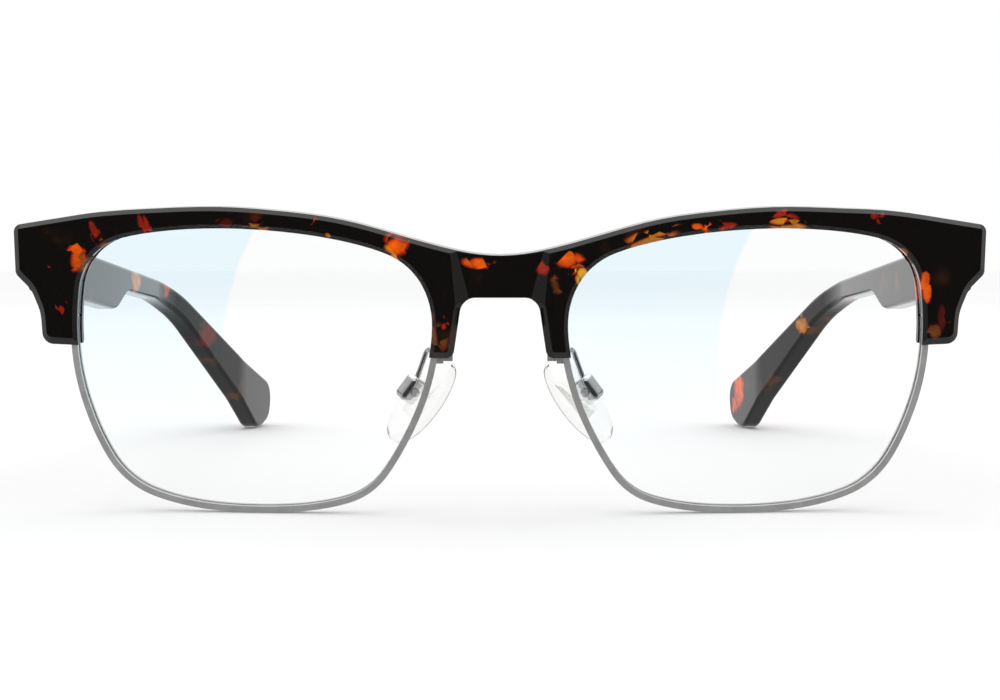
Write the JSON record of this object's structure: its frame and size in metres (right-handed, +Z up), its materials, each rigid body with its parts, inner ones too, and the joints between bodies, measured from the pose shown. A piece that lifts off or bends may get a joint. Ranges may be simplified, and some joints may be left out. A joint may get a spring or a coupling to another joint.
{
  "type": "half rim eyeglasses",
  "caption": "Half rim eyeglasses with a tortoise acetate brow and temples, thin metal eyewires, clear lenses, adjustable nose pads and folding hinges.",
  "frame": {"origin": "on the table under the middle of the open glasses, where the rims and the temple tips rest", "axes": "+Z up, +Y from the front towards the temple tips, +X towards the wearer's left"},
  "size_m": [0.142, 0.1479, 0.0448],
  "materials": {
    "tortoise_acetate": "polished tortoise: near black with orange, amber and red patches",
    "rim_metal": "satin gunmetal",
    "clear_lens": "clear with a faint blue sheen",
    "clear_silicone": "clear soft",
    "pad_insert_plastic": "clear stiff",
    "pad_box_chrome": "polished",
    "hinge_metal": "satin nickel",
    "screw_steel": "polished",
    "core_metal": "drawn wire"
  },
  "bodies": {
    "front": {"brow_front": "tortoise_acetate", "eyewire_left": "rim_metal", "lens_left": "clear_lens", "rim_block_upper_left": "rim_metal", "rim_block_lower_left": "rim_metal", "rim_screw_left": "screw_steel", "brow_tab_left": "rim_metal", "brow_screw_left": "screw_steel", "pad_arm_left": "rim_metal", "pad_box_left": "pad_box_chrome", "pad_screw_left": "screw_steel", "hinge_front_left": "hinge_metal", "hinge_screw_left": "screw_steel", "eyewire_right": "rim_metal", "lens_right": "clear_lens", "rim_block_upper_right": "rim_metal", "rim_block_lower_right": "rim_metal", "rim_screw_right": "screw_steel", "brow_tab_right": "rim_metal", "brow_screw_right": "screw_steel", "pad_arm_right": "rim_metal", "pad_box_right": "pad_box_chrome", "pad_screw_right": "screw_steel", "hinge_front_right": "hinge_metal", "hinge_screw_right": "screw_steel"},
    "temple_left": {"temple_left": "tortoise_acetate", "temple_core_left": "core_metal", "hinge_temple_left": "hinge_metal"},
    "temple_right": {"temple_right": "tortoise_acetate", "temple_core_right": "core_metal", "hinge_temple_right": "hinge_metal"},
    "pad_left": {"nose_pad_left": "clear_silicone", "pad_insert_left": "pad_insert_plastic"},
    "pad_right": {"nose_pad_right": "clear_silicone", "pad_insert_right": "pad_insert_plastic"}
  },
  "joints": [
    {"name": "temple_left_fold", "type": "hinge", "parent": "front", "child": "temple_left", "pos_m": [0.0647, -0.06179, 0.03595], "axis": [0, 0.0872, 0.9962], "range_deg": [0, 84]},
    {"name": "temple_right_fold", "type": "hinge", "parent": "front", "child": "temple_right", "pos_m": [-0.0647, -0.06179, 0.03595], "axis": [0, -0.0872, -0.9962], "range_deg": [0, 70]},
    {"name": "pad_left_rock", "type": "hinge", "parent": "front", "child": "pad_left", "pos_m": [0.01314, -0.06629, 0.01809], "axis": [0.4936, 0.788, 0.3679], "range_deg": [-10, 10]},
    {"name": "pad_right_rock", "type": "hinge", "parent": "front", "child": "pad_right", "pos_m": [-0.01314, -0.06629, 0.01809], "axis": [-0.4936, 0.788, 0.3679], "range_deg": [-10, 10]}
  ]
}
